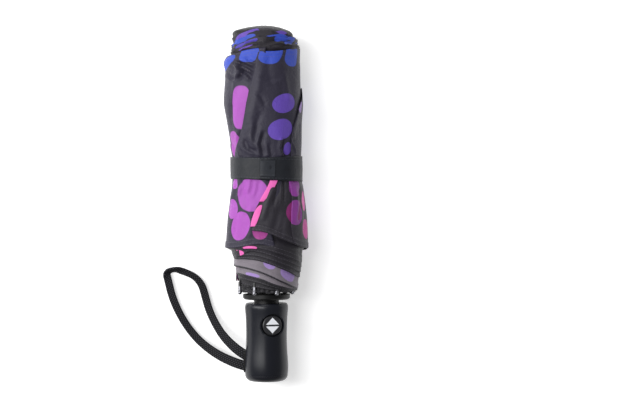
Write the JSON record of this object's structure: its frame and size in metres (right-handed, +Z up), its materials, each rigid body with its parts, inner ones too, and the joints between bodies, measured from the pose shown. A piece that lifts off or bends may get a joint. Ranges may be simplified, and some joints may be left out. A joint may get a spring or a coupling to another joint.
{
  "type": "folding umbrella",
  "caption": "Compact three-fold umbrella, closed and tied, with a telescopic shaft, folding ribs, push button handle and wrist strap.",
  "frame": {"origin": "on the surface it lies on, under the middle of its length", "axes": "+Y along the shaft from the handle to the crown, +Z up, +X to the right seen from above with the crown at the top"},
  "size_m": [0.1149, 0.2848, 0.0545],
  "materials": {
    "handle_plastic": "soft matte",
    "black_plastic": "satin",
    "arrow_white": "satin",
    "tube_steel": "bright",
    "spring_steel": "drawn wire",
    "rib_steel": "satin black",
    "rib_tip": "bright",
    "canopy_cloth": "pongee with a printed pattern",
    "band_cloth": "ribbed tape",
    "strap_braid": "flat braid"
  },
  "bodies": {
    "handle": {"handle_shell": "handle_plastic", "handle_end_cap": "handle_plastic", "handle_collar": "black_plastic", "lower_tube": "tube_steel", "drive_spring": "spring_steel", "button_spring": "spring_steel", "strap_anchor": "black_plastic", "wrist_strap": "strap_braid"},
    "button": {"push_button": "handle_plastic", "button_arrows": "arrow_white"},
    "shaft_middle": {"middle_tube": "tube_steel"},
    "crown": {"upper_tube": "tube_steel", "crown_hub": "black_plastic", "crown_cap": "black_plastic", "canopy_folds": "canopy_cloth", "tie_band": "band_cloth", "tie_patch": "band_cloth"},
    "runner": {"runner": "black_plastic"},
    "inner_1": {"rib_inner_1": "rib_steel"},
    "stretcher_1": {"stretcher_1": "rib_steel"},
    "middle_1": {"rib_middle_1": "rib_steel"},
    "outer_1": {"rib_outer_1": "rib_tip"},
    "inner_2": {"rib_inner_2": "rib_steel"},
    "stretcher_2": {"stretcher_2": "rib_steel"},
    "middle_2": {"rib_middle_2": "rib_steel"},
    "outer_2": {"rib_outer_2": "rib_tip"},
    "inner_3": {"rib_inner_3": "rib_steel"},
    "stretcher_3": {"stretcher_3": "rib_steel"},
    "middle_3": {"rib_middle_3": "rib_steel"},
    "outer_3": {"rib_outer_3": "rib_tip"},
    "inner_4": {"rib_inner_4": "rib_steel"},
    "stretcher_4": {"stretcher_4": "rib_steel"},
    "middle_4": {"rib_middle_4": "rib_steel"},
    "outer_4": {"rib_outer_4": "rib_tip"},
    "inner_5": {"rib_inner_5": "rib_steel"},
    "stretcher_5": {"stretcher_5": "rib_steel"},
    "middle_5": {"rib_middle_5": "rib_steel"},
    "outer_5": {"rib_outer_5": "rib_tip"},
    "inner_6": {"rib_inner_6": "rib_steel"},
    "stretcher_6": {"stretcher_6": "rib_steel"},
    "middle_6": {"rib_middle_6": "rib_steel"},
    "outer_6": {"rib_outer_6": "rib_tip"},
    "inner_7": {"rib_inner_7": "rib_steel"},
    "stretcher_7": {"stretcher_7": "rib_steel"},
    "middle_7": {"rib_middle_7": "rib_steel"},
    "outer_7": {"rib_outer_7": "rib_tip"},
    "inner_8": {"rib_inner_8": "rib_steel"},
    "stretcher_8": {"stretcher_8": "rib_steel"},
    "middle_8": {"rib_middle_8": "rib_steel"},
    "outer_8": {"rib_outer_8": "rib_tip"},
    "cloth1_a": {"canopy_ring1_a": "canopy_cloth"},
    "cloth2_a": {"canopy_ring2_a": "canopy_cloth"},
    "cloth3_a": {"canopy_ring3_a": "canopy_cloth"},
    "cloth1_b": {"canopy_ring1_b": "canopy_cloth"},
    "cloth2_b": {"canopy_ring2_b": "canopy_cloth"},
    "cloth3_b": {"canopy_ring3_b": "canopy_cloth"}
  },
  "joints": [
    {"name": "button_press", "type": "slide", "parent": "handle", "child": "button", "axis": [-0.342, 0, -0.9397], "range_m": [0, 0.002], "stiffness_N_per_m": 400, "deforming": ["button_spring"]},
    {"name": "shaft_extend", "type": "slide", "parent": "handle", "child": "shaft_middle", "axis": [0, 1, 0], "range_m": [0, 0.165], "deforming": ["drive_spring"]},
    {"name": "shaft_upper_extend", "type": "slide", "parent": "shaft_middle", "child": "crown", "axis": [0, 1, 0], "range_m": [0, 0.165]},
    {"name": "fold_open", "type": "hinge", "parent": "crown", "child": "inner_1", "pos_m": [0.00878, 0.1256, 0.03064], "axis": [-0.3827, 0, 0.9239], "range_deg": [0, 80], "deforming": ["canopy_folds", "tie_band", "tie_patch"]},
    {"name": "stretcher_fold_1", "type": "hinge", "parent": "inner_1", "child": "stretcher_1", "pos_m": [0.01095, 0.03563, 0.03154], "axis": [-0.3827, 0, 0.9239], "range_deg": [-160, 0]},
    {"name": "middle_fold_1", "type": "hinge", "parent": "inner_1", "child": "middle_1", "pos_m": [0.01534, -0.04627, 0.03335], "axis": [-0.3827, 0, 0.9239], "range_deg": [-175, 0]},
    {"name": "outer_fold_1", "type": "hinge", "parent": "middle_1", "child": "outer_1", "pos_m": [0.01465, 0.11976, 0.03307], "axis": [-0.3827, 0, 0.9239], "range_deg": [0, 163]},
    {"name": "inner_fold_2", "type": "hinge", "parent": "crown", "child": "inner_2", "pos_m": [0.00364, 0.1256, 0.03578], "axis": [-0.9239, 0, 0.3827], "range_deg": [0, 80]},
    {"name": "stretcher_fold_2", "type": "hinge", "parent": "inner_2", "child": "stretcher_2", "pos_m": [0.00454, 0.03563, 0.03795], "axis": [-0.9239, 0, 0.3827], "range_deg": [-160, 0]},
    {"name": "middle_fold_2", "type": "hinge", "parent": "inner_2", "child": "middle_2", "pos_m": [0.00635, -0.04627, 0.04234], "axis": [-0.9239, 0, 0.3827], "range_deg": [-175, 0]},
    {"name": "outer_fold_2", "type": "hinge", "parent": "middle_2", "child": "outer_2", "pos_m": [0.00607, 0.11976, 0.04165], "axis": [-0.9239, 0, 0.3827], "range_deg": [0, 163]},
    {"name": "inner_fold_3", "type": "hinge", "parent": "crown", "child": "inner_3", "pos_m": [-0.00364, 0.1256, 0.03578], "axis": [-0.9239, 0, -0.3827], "range_deg": [0, 80]},
    {"name": "stretcher_fold_3", "type": "hinge", "parent": "inner_3", "child": "stretcher_3", "pos_m": [-0.00454, 0.03563, 0.03795], "axis": [-0.9239, 0, -0.3827], "range_deg": [-160, 0]},
    {"name": "middle_fold_3", "type": "hinge", "parent": "inner_3", "child": "middle_3", "pos_m": [-0.00635, -0.04627, 0.04234], "axis": [-0.9239, 0, -0.3827], "range_deg": [-175, 0]},
    {"name": "outer_fold_3", "type": "hinge", "parent": "middle_3", "child": "outer_3", "pos_m": [-0.00607, 0.11976, 0.04165], "axis": [-0.9239, 0, -0.3827], "range_deg": [0, 163]},
    {"name": "inner_fold_4", "type": "hinge", "parent": "crown", "child": "inner_4", "pos_m": [-0.00878, 0.1256, 0.03064], "axis": [-0.3827, 0, -0.9239], "range_deg": [0, 80]},
    {"name": "stretcher_fold_4", "type": "hinge", "parent": "inner_4", "child": "stretcher_4", "pos_m": [-0.01095, 0.03563, 0.03154], "axis": [-0.3827, 0, -0.9239], "range_deg": [-160, 0]},
    {"name": "middle_fold_4", "type": "hinge", "parent": "inner_4", "child": "middle_4", "pos_m": [-0.01534, -0.04627, 0.03335], "axis": [-0.3827, 0, -0.9239], "range_deg": [-175, 0]},
    {"name": "outer_fold_4", "type": "hinge", "parent": "middle_4", "child": "outer_4", "pos_m": [-0.01465, 0.11976, 0.03307], "axis": [-0.3827, 0, -0.9239], "range_deg": [0, 163]},
    {"name": "inner_fold_5", "type": "hinge", "parent": "crown", "child": "inner_5", "pos_m": [-0.00878, 0.1256, 0.02336], "axis": [0.3827, 0, -0.9239], "range_deg": [0, 80]},
    {"name": "stretcher_fold_5", "type": "hinge", "parent": "inner_5", "child": "stretcher_5", "pos_m": [-0.01095, 0.03563, 0.02246], "axis": [0.3827, 0, -0.9239], "range_deg": [-160, 0]},
    {"name": "middle_fold_5", "type": "hinge", "parent": "inner_5", "child": "middle_5", "pos_m": [-0.01534, -0.04627, 0.02065], "axis": [0.3827, 0, -0.9239], "range_deg": [-175, 0]},
    {"name": "outer_fold_5", "type": "hinge", "parent": "middle_5", "child": "outer_5", "pos_m": [-0.01465, 0.11976, 0.02093], "axis": [0.3827, 0, -0.9239], "range_deg": [0, 163]},
    {"name": "inner_fold_6", "type": "hinge", "parent": "crown", "child": "inner_6", "pos_m": [-0.00364, 0.1256, 0.01822], "axis": [0.9239, 0, -0.3827], "range_deg": [0, 80]},
    {"name": "stretcher_fold_6", "type": "hinge", "parent": "inner_6", "child": "stretcher_6", "pos_m": [-0.00454, 0.03563, 0.01605], "axis": [0.9239, 0, -0.3827], "range_deg": [-160, 0]},
    {"name": "middle_fold_6", "type": "hinge", "parent": "inner_6", "child": "middle_6", "pos_m": [-0.00635, -0.04627, 0.01166], "axis": [0.9239, 0, -0.3827], "range_deg": [-175, 0]},
    {"name": "outer_fold_6", "type": "hinge", "parent": "middle_6", "child": "outer_6", "pos_m": [-0.00607, 0.11976, 0.01235], "axis": [0.9239, 0, -0.3827], "range_deg": [0, 163]},
    {"name": "inner_fold_7", "type": "hinge", "parent": "crown", "child": "inner_7", "pos_m": [0.00364, 0.1256, 0.01822], "axis": [0.9239, 0, 0.3827], "range_deg": [0, 80]},
    {"name": "stretcher_fold_7", "type": "hinge", "parent": "inner_7", "child": "stretcher_7", "pos_m": [0.00454, 0.03563, 0.01605], "axis": [0.9239, 0, 0.3827], "range_deg": [-160, 0]},
    {"name": "middle_fold_7", "type": "hinge", "parent": "inner_7", "child": "middle_7", "pos_m": [0.00635, -0.04627, 0.01166], "axis": [0.9239, 0, 0.3827], "range_deg": [-175, 0]},
    {"name": "outer_fold_7", "type": "hinge", "parent": "middle_7", "child": "outer_7", "pos_m": [0.00607, 0.11976, 0.01235], "axis": [0.9239, 0, 0.3827], "range_deg": [0, 163]},
    {"name": "inner_fold_8", "type": "hinge", "parent": "crown", "child": "inner_8", "pos_m": [0.00878, 0.1256, 0.02336], "axis": [0.3827, 0, 0.9239], "range_deg": [0, 80]},
    {"name": "stretcher_fold_8", "type": "hinge", "parent": "inner_8", "child": "stretcher_8", "pos_m": [0.01095, 0.03563, 0.02246], "axis": [0.3827, 0, 0.9239], "range_deg": [-160, 0]},
    {"name": "middle_fold_8", "type": "hinge", "parent": "inner_8", "child": "middle_8", "pos_m": [0.01534, -0.04627, 0.02065], "axis": [0.3827, 0, 0.9239], "range_deg": [-175, 0]},
    {"name": "outer_fold_8", "type": "hinge", "parent": "middle_8", "child": "outer_8", "pos_m": [0.01465, 0.11976, 0.02093], "axis": [0.3827, 0, 0.9239], "range_deg": [0, 163]},
    {"name": "runner_slide", "type": "slide", "parent": "crown", "child": "runner", "axis": [0, 1, 0], "range_m": [0, 0.15333]},
    {"name": "cloth1_a_spread", "type": "hinge", "parent": "inner_1", "child": "cloth1_a", "pos_m": [-0.02732, 0.12836, 0.01568], "axis": [-0.9098, -0.1736, -0.3769], "range_deg": [0, 179.5], "deforming": ["canopy_ring1_a"]},
    {"name": "cloth2_a_spread", "type": "hinge", "parent": "middle_1", "child": "cloth2_a", "pos_m": [0.04377, -0.22426, 0.04513], "axis": [0.9204, 0.0872, 0.3812], "range_deg": [0, 179.5], "deforming": ["canopy_ring2_a"]},
    {"name": "cloth3_a_spread", "type": "hinge", "parent": "outer_1", "child": "cloth3_a", "pos_m": [-0.10613, 0.43954, -0.01696], "axis": [-0.8566, -0.3746, -0.3548], "range_deg": [0, 179.5], "deforming": ["canopy_ring3_a"]},
    {"name": "cloth1_b_spread", "type": "hinge", "parent": "inner_5", "child": "cloth1_b", "pos_m": [0.02732, 0.12836, 0.03832], "axis": [0.9098, -0.1736, 0.3769], "range_deg": [0, 179.5], "deforming": ["canopy_ring1_b"]},
    {"name": "cloth2_b_spread", "type": "hinge", "parent": "middle_5", "child": "cloth2_b", "pos_m": [-0.04377, -0.22426, 0.00887], "axis": [-0.9204, 0.0872, -0.3812], "range_deg": [0, 179.5], "deforming": ["canopy_ring2_b"]},
    {"name": "cloth3_b_spread", "type": "hinge", "parent": "outer_5", "child": "cloth3_b", "pos_m": [0.10613, 0.43954, 0.07096], "axis": [0.8566, -0.3746, 0.3548], "range_deg": [0, 179.5], "deforming": ["canopy_ring3_b"]}
  ],
  "couplings": [
    {"joint": "shaft_upper_extend", "follows": "shaft_extend", "ratio": 1},
    {"joint": "stretcher_fold_1", "follows": "fold_open", "ratio": -2},
    {"joint": "middle_fold_1", "follows": "fold_open", "ratio": -2.1875},
    {"joint": "outer_fold_1", "follows": "fold_open", "ratio": 2.0375},
    {"joint": "inner_fold_2", "follows": "fold_open", "ratio": 1},
    {"joint": "stretcher_fold_2", "follows": "fold_open", "ratio": -2},
    {"joint": "middle_fold_2", "follows": "fold_open", "ratio": -2.1875},
    {"joint": "outer_fold_2", "follows": "fold_open", "ratio": 2.0375},
    {"joint": "inner_fold_3", "follows": "fold_open", "ratio": 1},
    {"joint": "stretcher_fold_3", "follows": "fold_open", "ratio": -2},
    {"joint": "middle_fold_3", "follows": "fold_open", "ratio": -2.1875},
    {"joint": "outer_fold_3", "follows": "fold_open", "ratio": 2.0375},
    {"joint": "inner_fold_4", "follows": "fold_open", "ratio": 1},
    {"joint": "stretcher_fold_4", "follows": "fold_open", "ratio": -2},
    {"joint": "middle_fold_4", "follows": "fold_open", "ratio": -2.1875},
    {"joint": "outer_fold_4", "follows": "fold_open", "ratio": 2.0375},
    {"joint": "inner_fold_5", "follows": "fold_open", "ratio": 1},
    {"joint": "stretcher_fold_5", "follows": "fold_open", "ratio": -2},
    {"joint": "middle_fold_5", "follows": "fold_open", "ratio": -2.1875},
    {"joint": "outer_fold_5", "follows": "fold_open", "ratio": 2.0375},
    {"joint": "inner_fold_6", "follows": "fold_open", "ratio": 1},
    {"joint": "stretcher_fold_6", "follows": "fold_open", "ratio": -2},
    {"joint": "middle_fold_6", "follows": "fold_open", "ratio": -2.1875},
    {"joint": "outer_fold_6", "follows": "fold_open", "ratio": 2.0375},
    {"joint": "inner_fold_7", "follows": "fold_open", "ratio": 1},
    {"joint": "stretcher_fold_7", "follows": "fold_open", "ratio": -2},
    {"joint": "middle_fold_7", "follows": "fold_open", "ratio": -2.1875},
    {"joint": "outer_fold_7", "follows": "fold_open", "ratio": 2.0375},
    {"joint": "inner_fold_8", "follows": "fold_open", "ratio": 1},
    {"joint": "stretcher_fold_8", "follows": "fold_open", "ratio": -2},
    {"joint": "middle_fold_8", "follows": "fold_open", "ratio": -2.1875},
    {"joint": "outer_fold_8", "follows": "fold_open", "ratio": 2.0375},
    {"joint": "runner_slide", "follows": "fold_open", "m_per_rad": 0.10982},
    {"joint": "cloth1_a_spread", "follows": "fold_open", "ratio": 2.2437},
    {"joint": "cloth2_a_spread", "follows": "fold_open", "ratio": 2.2437},
    {"joint": "cloth3_a_spread", "follows": "fold_open", "ratio": 2.2437},
    {"joint": "cloth1_b_spread", "follows": "fold_open", "ratio": 2.2437},
    {"joint": "cloth2_b_spread", "follows": "fold_open", "ratio": 2.2437},
    {"joint": "cloth3_b_spread", "follows": "fold_open", "ratio": 2.2437}
  ]
}
